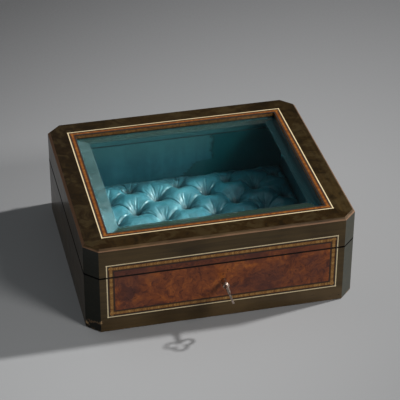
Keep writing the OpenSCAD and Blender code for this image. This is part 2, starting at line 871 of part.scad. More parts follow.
front_wall();
back_wall();
plain_wall("left");  // left_wall
plain_wall("right");  // right_wall
bottom_board();
base_cloth();
base_burr_panel();
banded() base_border(band_a, band_b);  // base_banding
black() {  // base_black_lines
    base_border(line_a, band_a);
    base_border(band_b, burr_a);
}
pale() base_border(0, string_w);  // base_stringing
base_lining("front");  // front_lining
base_lining("back");  // back_lining
base_lining("left");  // left_lining
base_lining("right");  // right_lining
cushion_card();
cushion();
cushion_buttons();
lock_plate();
lock_cover();
lock_bolt();
bolt_spring();
drill_pin();
lock_screws();
union() {
    key();
    key_bit();
}
hinge_leaf(-1, rim_h, -1, 0);  // left_hinge_base_leaf
hinge_leaf(1, rim_h, -1, 0);  // right_hinge_base_leaf
hinge_pins();
leaf_screw_set(rim_h, -1);  // hinge_base_screws
lid_front_wall();
lid_back_wall();
lid_wall("left");  // lid_left_wall
lid_wall("right");  // lid_right_wall
rail("front");  // lid_front_rail
rail("back");  // lid_back_rail
rail("left");  // lid_left_rail
rail("right");  // lid_right_rail
color([0.36, 0.16, 0.08]) panel_field(lid_low, panel_high - burr_a, burr_a);  // lid_burr_panel
banded() panel_strips(panel_high, lid_low, band_a, band_b);  // lid_banding
black() {  // lid_black_lines
    panel_strips(panel_high, lid_low, line_a, band_a);
    panel_strips(panel_high, lid_low, band_b, burr_a);
}
pale() panel_strips(panel_high, lid_low, 0, string_w);  // lid_stringing
banded() top_ring(top_inlay + band_a, rail_w - line_w);  // top_banding
black() {  // top_black_lines
    top_ring(top_inlay + line_a, top_inlay + band_a);
    top_ring(rail_w - line_w, rail_w);
}
pale() top_ring(top_inlay, top_inlay + string_w);  // top_stringing
glass();
glass_bead("front");  // front_glass_bead
glass_bead("back");  // back_glass_bead
glass_bead("left");  // left_glass_bead
glass_bead("right");  // right_glass_bead
lid_lining("front");  // lid_front_lining
lid_lining("back");  // lid_back_lining
lid_lining("left");  // lid_left_lining
lid_lining("right");  // lid_right_lining
strike_plate();
strike_loops();
strike_screws();
hinge_leaf(-1, lid_low, 1, 1);  // left_hinge_lid_leaf
hinge_leaf(1, lid_low, 1, 1);  // right_hinge_lid_leaf
leaf_screw_set(lid_low, 1);  // hinge_lid_screws
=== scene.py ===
"""Dresses the glass-topped display box: polished veneers and inlay, a buttoned silk cushion,
silk linings, a bevelled glass and a small key. Lengths are in metres, in the frame's own place."""

import math

import bpy
import numpy as np
from mathutils import Matrix, Vector


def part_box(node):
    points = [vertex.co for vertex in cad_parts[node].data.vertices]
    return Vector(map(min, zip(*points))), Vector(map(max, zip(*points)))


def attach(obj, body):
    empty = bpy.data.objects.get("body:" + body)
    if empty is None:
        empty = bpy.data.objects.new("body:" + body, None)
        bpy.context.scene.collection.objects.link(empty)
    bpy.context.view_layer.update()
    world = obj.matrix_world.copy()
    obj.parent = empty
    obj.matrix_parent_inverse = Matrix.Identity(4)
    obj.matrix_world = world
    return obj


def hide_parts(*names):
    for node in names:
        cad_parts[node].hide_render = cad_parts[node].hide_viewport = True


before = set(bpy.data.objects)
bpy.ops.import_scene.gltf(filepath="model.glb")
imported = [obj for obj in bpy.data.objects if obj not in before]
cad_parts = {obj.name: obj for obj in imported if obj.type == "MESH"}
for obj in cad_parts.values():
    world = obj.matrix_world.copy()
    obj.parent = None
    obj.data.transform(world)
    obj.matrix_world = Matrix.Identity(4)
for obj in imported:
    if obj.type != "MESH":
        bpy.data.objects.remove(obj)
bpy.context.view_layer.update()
MM = 0.001
bpy.context.scene.view_settings.view_transform = "Standard"


# Camera: the place and aim that the photograph's edges give, in millimetres and degrees
CAMERA_PLACE = Vector((-317.2, -1356.5, 971.4)) * MM
CAMERA_AIM = Vector((0.19315, 0.81413, -0.54761))
CAMERA_ROLL = 0.18
CAMERA_LENS = 145.9
CAMERA_SENSOR = 36


def make_camera():
    """A camera that looks along CAMERA_AIM, turned by CAMERA_ROLL about it."""
    cam = bpy.data.objects.new("camera", bpy.data.cameras.new("camera"))
    cam.data.lens = CAMERA_LENS
    cam.data.sensor_width = CAMERA_SENSOR
    cam.data.clip_start = 0.05
    cam.data.clip_end = 20
    turn = CAMERA_AIM.to_track_quat("-Z", "Y").to_matrix()
    roll = Matrix.Rotation(math.radians(CAMERA_ROLL), 3, "Z")
    cam.matrix_world = Matrix.Translation(CAMERA_PLACE) @ (turn @ roll).to_4x4()
    bpy.context.collection.objects.link(cam)
    bpy.context.scene.camera = cam


# Sizes and places that the finishes and the new pieces take from the frame
def corners(node):
    """The lowest and the highest corner of a node's box, as arrays."""
    lo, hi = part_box(node)
    return np.array(lo), np.array(hi)


FRONT_LO, FRONT_HI = corners("front_wall")
RAIL_LO, RAIL_HI = corners("lid_front_rail")
HALF_W = corners("right_wall")[1][0]
HALF_D = -FRONT_LO[1]
RIM_Z = FRONT_HI[2]
TOP_Z = RAIL_HI[2]
SEAM_Z = (RIM_Z + corners("lid_front_wall")[0][2]) / 2
CORNER_X = FRONT_HI[0]  # where the front's flat face ends and the cut corner starts
CORNER_CUT = HALF_W - CORNER_X
RAIL_W = RAIL_HI[1] - RAIL_LO[1]
GLASS_X = HALF_W - RAIL_W
GLASS_Y = HALF_D - RAIL_W
LIP_T = 5 * MM
GLASS_BEVEL = 13 * MM
LINING_SEAM = SEAM_Z + 4.5 * MM  # where the linings of the base and of the lid meet
LINING_GAP = 0.3 * MM  # by which the base's linings are set in above the rim

# Middles of the inlaid strips: the ring round the glass, and the frame of the front panel
LINE_W = 0.9 * MM
TOP_BAND_HALF = (corners("top_banding")[1][0] - GLASS_X - LINE_W) / 2
TOP_BAND_IN = LINE_W + TOP_BAND_HALF
BAND_LO, BAND_HI = corners("base_banding")
BAND_HALF = (corners("base_burr_panel")[0][2] - LINE_W - BAND_LO[2]) / 2
BAND_X = BAND_HI[0] - BAND_HALF
BAND_LOW = BAND_LO[2] + BAND_HALF
BAND_HIGH = corners("lid_banding")[1][2] - BAND_HALF
STRING_HALF = 0.75 * MM
TOP_STRING_X, TOP_STRING_Y = (corners("top_stringing")[1] - STRING_HALF)[:2]
STRING_LO, STRING_HI = corners("base_stringing")
STRING_X = STRING_HI[0] - STRING_HALF
STRING_LOW = STRING_LO[2] + STRING_HALF
STRING_HIGH = corners("lid_stringing")[1][2] - STRING_HALF

# The cushion: its diamonds are the CAD cushion's own
CUSHION_LO, CUSHION_HI = corners("cushion")
CROWN_Z = CUSHION_HI[2]
PAD_W, PAD_D = (CUSHION_HI - CUSHION_LO)[:2]
TUFT_COLUMNS = 4.5
TUFT_ROWS = 5
PITCH_X = PAD_W / TUFT_COLUMNS
PITCH_Y = PAD_D / TUFT_ROWS
TUFT_DEPTH = 12 * MM
FOLD_DEPTH = 1.3 * MM
FOLD_WANDER = 1.3 * MM
CREASE_DEPTH = 1.5 * MM
CREASE_SHARPNESS = 21  # the larger, the narrower the creases and the laps
LAP_HEIGHT = 0.7 * MM
DISH_DEPTH = 3.2 * MM
CROWN_SLACK = 1.5 * MM
GATHER_DEPTH = 0.36 * MM
EDGE_ROLL = 26 * MM
EDGE_DROP = 13 * MM
GRID_COLUMNS, GRID_ROWS = 251, 221

# The covered buttons: domes that end a little below their widest ring
BUTTON_R = 3.2 * MM
BUTTON_H = 2.6 * MM
BUTTON_SINK = 1.2 * MM
BUTTON_PUCKER = 0.1 * MM
BUTTON_TAIL = 0.6 * MM
BUTTON_TURN = 0.62 * math.pi
BUTTON_MARGIN = 9 * MM  # no button stands closer than this to the cushion's edge
BUTTON_RINGS, BUTTON_AROUND = 7, 20


# Shader maths: Value wraps a socket, and an expression on values adds Math nodes
class Value:
    def __init__(self, sheet, socket):
        self.sheet = sheet
        self.socket = socket

    def _math(self, operation, *inputs):
        return self.sheet.node("ShaderNodeMath", {"operation": operation}, *inputs)

    def __add__(self, other):
        return self._math("ADD", self, other)

    def __sub__(self, other):
        return self._math("SUBTRACT", self, other)

    def __mul__(self, other):
        return self._math("MULTIPLY", self, other)

    def __truediv__(self, other):
        return self._math("DIVIDE", self, other)

    def __pow__(self, other):
        return self._math("POWER", self, other)

    def __radd__(self, other):
        return self._math("ADD", other, self)

    def __rsub__(self, other):
        return self._math("SUBTRACT", other, self)

    def __rmul__(self, other):
        return self._math("MULTIPLY", other, self)

    def abs(self):
        return self._math("ABSOLUTE", self)

    def sin(self):
        return self._math("SINE", self)

    def exp(self):
        return self._math("EXPONENT", self)

    def floor(self):
        return self._math("FLOOR", self)

    def fract(self):
        return self._math("FRACT", self)

    def min(self, other):
        return self._math("MINIMUM", self, other)

    def max(self, other):
        return self._math("MAXIMUM", self, other)

    def over(self, other):
        """1 where this is greater than other, 0 elsewhere."""
        return self._math("GREATER_THAN", self, other)

    def step(self, low, high, out_low=0.0, out_high=1.0):
        """Smooth step: out_low below low, out_high above high."""
        return self.sheet.node(
            "ShaderNodeMapRange",
            {"interpolation_type": "SMOOTHSTEP"},
            self, low, high, out_low, out_high,
        )


class Sheet:
    """A material's node sheet, with one method for every node. tree is given for the world alone."""

    def __init__(self, name, tree=None):
        if tree is None:
            self.material = bpy.data.materials.new(name)
            self.material.use_nodes = True
            tree = self.material.node_tree
            tree.nodes.clear()
            self.out = tree.nodes.new("ShaderNodeOutputMaterial")
        self.tree = tree

    def feed(self, socket, value):
        """Links a Value, or sets a number, vector or colour. One number fills a whole vector."""
        if isinstance(value, Value):
            self.tree.links.new(value.socket, socket)
        elif value is not None:
            if hasattr(socket.default_value, "__len__") and not hasattr(value, "__len__"):
                value = [value] * len(socket.default_value)
            if hasattr(value, "__len__") and len(value) == 3 and len(socket.default_value) == 4:
                value = (*value, 1)
            socket.default_value = value

    def node(self, kind, settings=None, *inputs, out=0, **named):
        """A node with its settings, then its sockets in order or by name. Gives the output out."""
        made = self.tree.nodes.new(kind)
        for key, value in (settings or {}).items():
            if key == "stops":
                ramp = made.color_ramp
                while len(ramp.elements) < len(value):
                    ramp.elements.new(0.5)
                for element, (place, colour) in zip(ramp.elements, value):
                    element.position = place
                    element.color = (*colour, 1)
            else:
                setattr(made, key, value)
        for socket, value in zip(made.inputs, inputs):
            self.feed(socket, value)
        for key, value in named.items():
            self.feed(made.inputs[key.replace("_", " ")], value)
        return Value(self, made.outputs[out])

    # Short names for the nodes that most materials use
    def place(self, kind="Object"):
        return self.node("ShaderNodeTexCoord", out=kind)

    def split(self, vector):
        made = self.node("ShaderNodeSeparateXYZ", None, vector)
        return [Value(self, made.socket.node.outputs[i]) for i in range(3)]

    def join(self, x, y, z):
        return self.node("ShaderNodeCombineXYZ", None, x, y, z)

    def noise(self, vector, scale, detail=4.0, roughness=0.5, distortion=0.0, colour=False):
        return self.node(
            "ShaderNodeTexNoise", None, Vector=vector, Scale=scale, Detail=detail,
            Roughness=roughness, Distortion=distortion, out=int(colour),
        )

    def stretch(self, vector, scale):
        return self.node("ShaderNodeVectorMath", {"operation": "MULTIPLY"}, vector, scale)

    def distance(self, a, b):
        return self.node("ShaderNodeVectorMath", {"operation": "DISTANCE"}, a, b, out=1)

    def mix(self, factor, a, b, how="MIX"):
        """Colour a where factor is 0, b where it is 1, in a Mix node's colour sockets."""
        made = self.tree.nodes.new("ShaderNodeMix")
        made.data_type = "RGBA"
        made.blend_type = how
        self.feed(made.inputs[0], factor)
        self.feed(made.inputs[6], a)
        self.feed(made.inputs[7], b)
        return Value(self, made.outputs[2])

    def ramp(self, factor, stops):
        return self.node("ShaderNodeValToRGB", {"stops": stops}, factor)

    def bump(self, height, distance, strength):
        return self.node("ShaderNodeBump", None, Height=height, Distance=distance, Strength=strength)

    def shader(self, kind, **sockets):
        return self.node("ShaderNodeBsdf" + kind, None, **sockets)

    def blend(self, factor, first, second):
        """The first shader where factor is 0, the second where it is 1."""
        return self.node("ShaderNodeMixShader", None, factor, first, second)

    def end(self, shader):
        """Links the shader to the sheet's output and gives the material."""
        self.tree.links.new(shader.socket, self.out.inputs["Surface"])
        return self.material

    def finish(self, **sockets):
        """Ends the sheet with a Principled shader whose sockets are given by name."""
        return self.end(self.shader("Principled", **sockets))


def seam_shade(z, wide=0.75 * MM):
    """1 along the seam between base and lid, where its shade is painted over the two edges that meet
    there, 0 away from it.
    """
    return 1 - (z - SEAM_Z).abs().step(wide, 0.45 * MM + wide)


# French polish: the ground is in french_polish, and each function below lays one thing over it
def polish_top(s, p, x, y, up, grain, along, tone):
    """The top is darker than the sides, most on the left rail, and its polish has crazed.

    Gives the tone, and how far the front rail has turned brown."""
    tone = s.mix(up * (0.5 + 0.3 * y.step(-0.06, 0.1)), tone, (0.014, 0.007, 0.001))
    tone = s.mix(up * (0 - x).over(GLASS_X) * 0.6, tone, (0.007, 0.003, 0.0005))
    brown = 0.0
    if along == "x":
        brown = up * (0 - y).over(GLASS_Y) * grain.step(0.35, 0.65, 0.45, 0.85)
        tone = s.mix(brown, tone, (0.017, 0.007, 0.0005))
    blotch = s.noise(p, 60, 5, 0.7, 0.8)
    tone = s.mix(up * blotch.step(0.48, 0.62) * 0.4, tone, (0.052, 0.036, 0.014))
    tone = s.mix(up * (1 - blotch.step(0.38, 0.48)) * 0.65, tone, (0.007, 0.004, 0.001))
    return tone, brown


def polish_lip(s, p, x, y, z, tone):
    """The rails' inner faces above the glass: amber veneer, with a painted shadow as a black line along
    the glass.
    """
    slack = 0.2 * MM
    foot = TOP_Z - LIP_T + LINE_W
    inner = (GLASS_X + slack - x.abs()).over(0) * (GLASS_Y + slack - y.abs()).over(0)
    lip = inner * z.over(TOP_Z - LIP_T)
    amber = s.mix(s.noise(p, 500, 3, 0.6).step(0.35, 0.65), (0.11, 0.038, 0.008), (0.26, 0.110, 0.022))
    # Painted shadow: the black line at the foot of the face, in the gap along the glass
    amber = s.mix(1 - z.step(foot, foot + 0.4 * MM), amber, (0.006, 0.004, 0.002))
    return s.mix(lip, tone, amber)


def polish_front(s, x, z, nx, ny, cloud, tone):
    """The front is painted lighter, towards olive, most at the right and low down: painted light, and low
    down a painted reflection of the lit floor.

    The left cut corner is painted nearly black as painted shade, and the right one grey green as painted
    light. Gives the tone, and where the front's cut corners are."""
    # Painted light on the front, most at the right, and a painted reflection of the lit floor low down
    painted_front_light = (0 - ny).step(0.9, 0.97) * (0.45 + 0.4 * x.step(-0.1, 0.12))
    painted_front_light = painted_front_light * (0.5 + 0.5 * cloud.step(0.35, 0.6))
    low = 1 - z.step(12 * MM, 19 * MM)
    olive = s.mix(low, (0.094, 0.063, 0.028), (0.122, 0.078, 0.036))
    tone = s.mix(painted_front_light * (0.6 + 0.4 * low), tone, olive)
    # Painted shade on the left cut corner, and painted light on the right one
    cut = nx.abs().step(0.5, 0.6) * ny.abs().step(0.5, 0.6) * (0 - ny).over(0)
    tone = s.mix(cut * (0 - x).over(0) * 0.85, tone, (0.006, 0.009, 0.006))
    tone = s.mix(cut * x.over(0) * 0.75, tone, (0.034, 0.039, 0.030))
    return tone, cut


def polish_bevel(s, p, z, nx, ny, nz, tone):
    """The bevel round the lid's top edge, where the normal leans, is painted lighter: partly worn
    through, partly a painted highlight.

    Wear and painted highlight are strongest along its foot and least along its upper edge, and a redder
    painted highlight lies on the left.
    Gives the tone, and where the bevel is."""
    below = TOP_Z - z
    lean = nz.abs().step(0.5, 0.62) * (1 - nz.abs().step(0.8, 0.9)) * z.over(TOP_Z - 4 * MM)
    # Wear and painted highlight together: patches, and a pale line along the bevel's foot
    worn = s.noise(s.stretch(p, (40, 160, 500)), 1.0, 4, 0.6).step(0.36, 0.6, 0.15, 0.75)
    worn = worn.max((1 - (below - 2.3 * MM).abs().step(0.3 * MM, 0.7 * MM)) * 0.8)
    worn = worn * (1 - z.step(TOP_Z - 1.7 * MM, TOP_Z - 0.9 * MM) * 0.75)
    tone = s.mix(lean * worn, tone, (0.21, 0.115, 0.065))
    # Painted highlight: redder on the bevel of the left side
    on_left = (0 - nx).over(0.3) * (0 - ny).step(0, 0.2, 1, 0)
    return s.mix(lean * on_left * 0.8, tone, (0.16, 0.062, 0.018)), lean


# Middles of two chips near the foot of the left cut corner, on the front and on the side
CHIPS = (
    (6.8 * MM - CORNER_X, -HALF_D, 12.2 * MM),
    (1.5 * MM - HALF_W, 11.5 * MM - HALF_D, 6 * MM),
)


def polish_wear(s, p, x, y, z, cut, tone):
    """Rubbed arrises and foot, chips of bare wood, knocks, and the left cut corner's broken foot.

    The cut corners' arrises are points in plan. Gives the tone, and where it is rubbed and chipped."""
    on_left = (0 - x).over(0)
    front_arris = (x.abs() - CORNER_X).abs() + (y.abs() - HALF_D).abs()
    side_arris = (x.abs() - HALF_W).abs() + (y.abs() - (HALF_D - CORNER_CUT)).abs()
    arris = front_arris.min(side_arris)
    rub = (1 - arris.step(0.2 * MM, 1.6 * MM)) * s.noise(p, 230, 4, 0.65).step(0.42, 0.62)
    foot = (1 - z.step(0.8 * MM, 2.6 * MM)) * s.noise(p, 210, 4, 0.65).step(0.5, 0.64)
    rub = rub.max(foot)
    tone = s.mix(rub * 0.45, tone, (0.2, 0.115, 0.065))
    chip = 1 - (arris * 0.8 + z * 0.62).step(4.5 * MM, 7.5 * MM)
    chip = chip * s.noise(p, 210, 3, 0.7).step(0.5, 0.56) * 0.5
    for place in CHIPS:
        gap = s.distance(p, place) + (s.noise(p, 330, 3, 0.8) - 0.5) * (9 * MM)
        chip = chip.max(1 - gap.step(1.0 * MM, 2.4 * MM))
    # The broken foot: a ragged pale rim of bare wood, with the wood below it painted darker
    brink = z - 9.5 * MM - (s.noise(p, 160, 3, 0.7) - 0.5) * (12 * MM)
    broken = (cut * on_left).max(1 - (front_arris * on_left + x.over(0)).step(1.5 * MM, 4 * MM))
    ragged = (1 - brink.abs().step(0.4 * MM, 1.3 * MM)) * s.noise(p, 90, 2, 0.5).step(0.35, 0.5)
    tone = s.mix(broken * (1 - brink.step(-1 * MM, 0)) * 0.7, tone, (0.010, 0.006, 0.003))
    tone = s.mix(chip * 0.9, tone, (0.40, 0.25, 0.12))
    tone = s.mix(broken * ragged * 0.6, tone, (0.24, 0.14, 0.07))
    # Small dark knocks along the foot
    knock = s.noise(s.stretch(p, (110, 110, 260)), 1.0, 3, 0.6).step(0.68, 0.74)
    knock = knock * (1 - z.step(6 * MM, 14 * MM))
    return s.mix(knock * 0.8, tone, (0.006, 0.004, 0.003)), rub, chip


def french_polish(name, along):
    """Dark rosewood under old polish, with its streaks along x or y."""
    s = Sheet(name)
    p = s.place()
    x, y, z = s.split(p)
    nx, ny, nz = s.split(s.place("Normal"))
    runs = {"x": (18, 260, 260), "y": (260, 18, 260)}[along]
    grain = s.noise(s.stretch(p, runs), 1.0, 6, 0.62, 0.6)
    fine = s.noise(s.stretch(p, [v * 5 for v in runs]), 1.0, 3, 0.6)
    cloud = s.noise(p, 14, 3, 0.55)
    tone = s.ramp(
        grain * 0.6 + cloud * 0.4,
        [(0.3, (0.016, 0.009, 0.003)), (0.46, (0.030, 0.018, 0.006)),
         (0.58, (0.056, 0.034, 0.011)), (0.75, (0.095, 0.056, 0.018))],
    )
    tone = s.mix(fine.step(0.55, 0.72, 0, 0.4), tone, (0.016, 0.010, 0.004))
    tone, brown = polish_top(s, p, x, y, nz.step(0.9, 0.97), grain, along, tone)
    tone = polish_lip(s, p, x, y, z, tone)
    tone, cut = polish_front(s, x, z, nx, ny, cloud, tone)
    tone, lean = polish_bevel(s, p, z, nx, ny, nz, tone)
    tone, rub, chip = polish_wear(s, p, x, y, z, cut, tone)
    # Painted shade along the seam between base and lid, wider on the sides
    seam = seam_shade(z, nx.abs().step(0.8, 0.95, 0.75 * MM, 1.7 * MM))
    tone = s.mix(seam * 0.96, tone, (0.002, 0.0015, 0.001))
    rough = 0.3 + 0.16 * s.noise(p, 60, 5, 0.6) + 0.25 * rub.max(lean * 0.6).max(chip)
    scratches = s.noise(s.stretch(p, (900, 160, 500)), 1.0, 2, 0.5).step(0.62, 0.7)
    height = grain * 0.5 + fine * 0.25 + scratches * 0.08 - chip * 2.0
    return s.finish(
        Base_Color=tone, Roughness=rough.max(seam), Coat_Roughness=0.18,
        Coat_Weight=(0.06 + 0.2 * (1 - nz.step(0.4, 0.6))) * (1 - seam) * (1 - brown),
        Specular_IOR_Level=0.1, Normal=s.bump(height, 0.12 * MM, 0.5),
    )


def burr_veneer():
    """Burr: swirling red-brown figure with small dark eyes, under polish."""
    s = Sheet("burr veneer")
    p = s.place()
    z = s.split(p)[2]
    swirl = s.noise(p, 26, 5, 0.6, 0, colour=True)
    bent = s.node("ShaderNodeVectorMath", {"operation": "MULTIPLY_ADD"}, swirl, (0.03, 0.03, 0.03), p)
    figure = s.noise(bent, 95, 8, 0.74, 1.3)
    cloud = s.noise(bent, 24, 3, 0.5, 0.6)
    tone = s.ramp(
        figure * 0.62 + cloud * 0.38,
        [(0.3, (0.034, 0.012, 0.012)), (0.42, (0.10, 0.028, 0.014)),
         (0.51, (0.21, 0.056, 0.018)), (0.6, (0.34, 0.100, 0.022)), (0.74, (0.55, 0.19, 0.035))],
    )
    dusk = s.noise(p, 17, 3, 0.6, 0.5).step(0.44, 0.62)
    tone = s.mix(dusk * 0.5, tone, (0.075, 0.030, 0.026))
    # The lid's strip is cut from a darker leaf
    tone = s.mix(z.over(SEAM_Z) * 0.5, tone, (0.085, 0.026, 0.018))
    eyes = s.node("ShaderNodeTexVoronoi", {"feature": "F1"}, Vector=bent, Scale=190.0, Randomness=1.0)
    spots = (1 - eyes.step(0.1, 0.3)) * s.noise(p, 40, 2, 0.5).step(0.48, 0.6)
    tone = s.mix(spots * 0.7, tone, (0.035, 0.012, 0.006))
    # Painted shade along the seam between base and lid
    tone = s.mix(seam_shade(z) * 0.93, tone, (0.004, 0.002, 0.001))
    return s.finish(
        Base_Color=tone, Roughness=0.3 + 0.16 * figure, Coat_Weight=0.06, Coat_Roughness=0.16,
        Specular_IOR_Level=0.2, Normal=s.bump(figure, 0.1 * MM, 0.4),
    )


# The ring on the top kept its orange, and the front has faded to gold
ORANGE_BLOCKS = [(0.32, (0.10, 0.023, 0.003)), (0.48, (0.22, 0.064, 0.008)), (0.66, (0.38, 0.16, 0.028))]
GOLD_BLOCKS = [(0.32, (0.14, 0.055, 0.013)), (0.48, (0.30, 0.14, 0.034)), (0.66, (0.52, 0.30, 0.09))]
BLOCK_LENGTH = 1.6 * MM


def banding(name, flat):
    """Banding of short cross-grain blocks with fine dark joints, like a laid rope.

    flat is true for the ring on the lid's top, whose strips run along x and y, and false for the
    strips on the front, which run along x and z."""
    s = Sheet(name)
    p = s.place()
    x, y, z = s.split(p)
    if flat:
        half = TOP_BAND_HALF
        gap_x = (x.abs() - (GLASS_X + TOP_BAND_IN)).abs()
        gap_y = (y.abs() - (GLASS_Y + TOP_BAND_IN)).abs()
        upright = gap_y.over(gap_x)
        run = x * (1 - upright) + y * upright
        across = gap_x.min(gap_y)
    else:
        half = BAND_HALF
        gap_x = (x.abs() - BAND_X).abs()
        upright = (half * 1.01 - gap_x).over(0)
        run = x * (1 - upright) + z * upright
        across = gap_x.min((z - BAND_LOW).abs()).min((z - BAND_HIGH).abs())
    block = run / BLOCK_LENGTH
    wobble = s.noise(p, 400, 2, 0.5) * 0.35
    slant = block + across * 320 + wobble
    joint = (slant.fract() - 0.5).abs().step(0.3, 0.46)
    shade = s.noise(s.join(block.floor(), 0, 0), 1.7, 1, 0.5)
    fibre = s.noise(p, 900, 3, 0.6)
    tone = s.ramp(shade * 0.6 + fibre * 0.4, ORANGE_BLOCKS if flat else GOLD_BLOCKS)
    tone = s.mix(joint * 0.8, tone, (0.06, 0.018, 0.007))
    margin = across.step(half - 1.3 * MM, half - 0.8 * MM)
    tone = s.mix(margin * 0.85, tone, (0.045, 0.014, 0.006))
    if not flat:
        tone = s.mix(seam_shade(z) * 0.9, tone, (0.004, 0.002, 0.001))
    return s.finish(
        Base_Color=tone, Roughness=0.28 + 0.2 * fibre, Coat_Weight=0.1, Coat_Roughness=0.16,
        Specular_IOR_Level=0.2, Normal=s.bump(joint * -1.0, 0.06 * MM, 0.5),
    )


def plain_wood(name, stops, scale, rough=0.4, coat=0.1, runs=(1, 1, 1), string=False):
    """A fine-grained wood: noise drawn out along runs, through a ramp of colours.

    string darkens both edges of the stringing, where polish and dirt have crept in."""
    s = Sheet(name)
    p = s.place()
    x, y, z = s.split(p)
    grain = s.noise(s.stretch(p, runs), scale, 5, 0.6, 0.4)
    patch = s.noise(p, 90, 3, 0.5)
    tone = s.ramp(grain * 0.6 + patch * 0.4, stops)
    if string:
        on_top = z.over(TOP_Z - 4 * MM)
        top = (x.abs() - TOP_STRING_X).abs().min((y.abs() - TOP_STRING_Y).abs())
        front = (x.abs() - STRING_X).abs().min((z - STRING_LOW).abs()).min((z - STRING_HIGH).abs())
        off = top * on_top + front * (1 - on_top)
        tone = s.mix(off.step(0.28 * MM, 0.56 * MM, 0, 0.9), tone, (0.09, 0.055, 0.025))
    tone = s.mix(seam_shade(z) * 0.9, tone, (0.01, 0.007, 0.004))
    return s.finish(
        Base_Color=tone, Roughness=rough + 0.15 * patch, Coat_Weight=coat, Coat_Roughness=0.2,
        Normal=s.bump(grain, 0.08 * MM, 0.4),
    )


# The dark patch on the right of the back lining: low down its edge climbs in steps, and higher up it
# stands upright
PATCH_STEP = 3.4 * MM
PATCH_START = -7.8 * MM
PATCH_UPRIGHT_X = 43.3 * MM
PATCH_EDGE_NOISE = 22 * MM


def haze_and_dark_patch(s, p, x, z, tone):
    """A painted haze of light greys the upper part of the silk, and on the right of the back the silk is
    painted a darker teal.

    A dark ragged rim follows the patch's edge, and a painted shade line marks the gap under the lid's
    lining."""
    # Painted haze of light: greyer and paler on the upper part
    tone = s.mix(z.step(35 * MM, 66 * MM) * 0.55, tone, (0.045, 0.13, 0.13))
    edge_noise = (s.noise(p, 210, 5, 0.85) - 0.5) * PATCH_EDGE_NOISE
    steps = (z / PATCH_STEP).floor() * PATCH_STEP + PATCH_START
    high = z.step(35.7 * MM, 37.3 * MM)
    edge = steps * (1 - high) + PATCH_UPRIGHT_X * high + edge_noise
    in_lid = z.step(LINING_SEAM - 0.3 * MM, LINING_SEAM + 0.1 * MM)
    dark_patch = (x - edge).step(0, 0.6 * MM) * (1 - in_lid) + x.step(60 * MM, 100 * MM) * in_lid
    rim = (1 - (x - edge).abs().step(0.3 * MM, 1.6 * MM)) * (1 - in_lid)
    # Painted shade in the gap where the linings of base and lid meet
    joint = 1 - (z - LINING_SEAM).abs().step(0.4 * MM, 0.9 * MM)
    tone = s.mix(dark_patch * 0.86, tone, (0.001, 0.052, 0.060))
    tone = s.mix(rim * 0.8, tone, (0.003, 0.010, 0.012))
    return s.mix(joint * 0.8, tone, (0.003, 0.012, 0.014))


def pit_shade(x, y):
    """The painted shade in the pits: the less, the further a point is from its nearest button."""
    near = None
    for shift in (0.0, 0.5):
        u, v = x / PITCH_X - shift + 0.5, y / PITCH_Y - shift + 0.5
        du, dv = (u - u.floor() - 0.5) * PITCH_X, (v - v.floor() - 0.5) * PITCH_Y
        d = (du * du + dv * dv) ** 0.5
        near = d if near is None else near.min(d)
    return (1 - near.step(2.2 * MM, 7.5 * MM)) * 0.85


RIB_PACE = 2400


def silk(name, deep, pale, streak=0.0, hazed=False, buttoned=False):
    """Satin: fine ribs, soft crush marks and sheen. streak adds the gathers of a stretched lining.

    hazed adds the painted haze and the dark patch of the back lining, and buttoned the painted shade in
    the cushion's pits."""
    s = Sheet(name)
    p = s.place()
    x, y, z = s.split(p)
    ribs = ((x + y) * RIB_PACE).sin() * 0.5 + (z * RIB_PACE * 1.3).sin() * 0.5
    crush = s.noise(p, 45, 5, 0.6, 1.2)
    folds = s.noise(s.stretch(p, (170, 170, 14)), 1.0, 3, 0.5)
    tone = s.mix((crush * 0.6 + folds * 0.4).step(0.3, 0.7), deep, pale)
    shade, gloss = 0.0, 0.1
    if hazed:
        tone = haze_and_dark_patch(s, p, x, z, tone)
    if buttoned:
        # Painted shade: the silk is painted a deeper blue towards the right, which lies in shadow
        painted_shade_blue = s.mix(1.0, tone, (0.1, 0.68, 0.76), "MULTIPLY")
        tone = s.mix(x.step(-0.02, 0.06, 0, 0.8), tone, painted_shade_blue)
        # Painted shade in the pits, and on the buttons that sit in them
        shade = pit_shade(x, y)
        tone = s.mix(shade, tone, (0.001, 0.016, 0.022))
        gloss = x.step(-0.02, 0.06, 1, 0.6)
    height = crush * 0.5 + folds * streak + ribs * 0.02
    return s.finish(
        Base_Color=tone, Roughness=0.3 + 0.16 * crush + 0.4 * shade, Specular_IOR_Level=0.4,
        Sheen_Weight=0.04, Sheen_Roughness=0.35, Sheen_Tint=(0.7, 0.95, 1.0),
        Coat_Weight=gloss * (1 - shade), Coat_Roughness=0.34, Normal=s.bump(height, 0.9 * MM, 0.45),
    )


def metal(name, tone, dark, rough, scale=300.0):
    """Worn metal: patches of tarnish over a brushed ground."""
    s = Sheet(name)
    p = s.place()
    patch = s.noise(p, scale, 5, 0.65)
    brush = s.noise(s.stretch(p, (4000, 400, 4000)), 1.0, 2, 0.5)
    stain = patch.step(0.42, 0.66)
    return s.finish(
        Base_Color=s.mix(stain, tone, dark), Metallic=1.0 - 0.25 * stain,
        Roughness=rough + 0.22 * stain + 0.06 * brush, Normal=s.bump(brush + patch, 0.04 * MM, 0.5),
    )


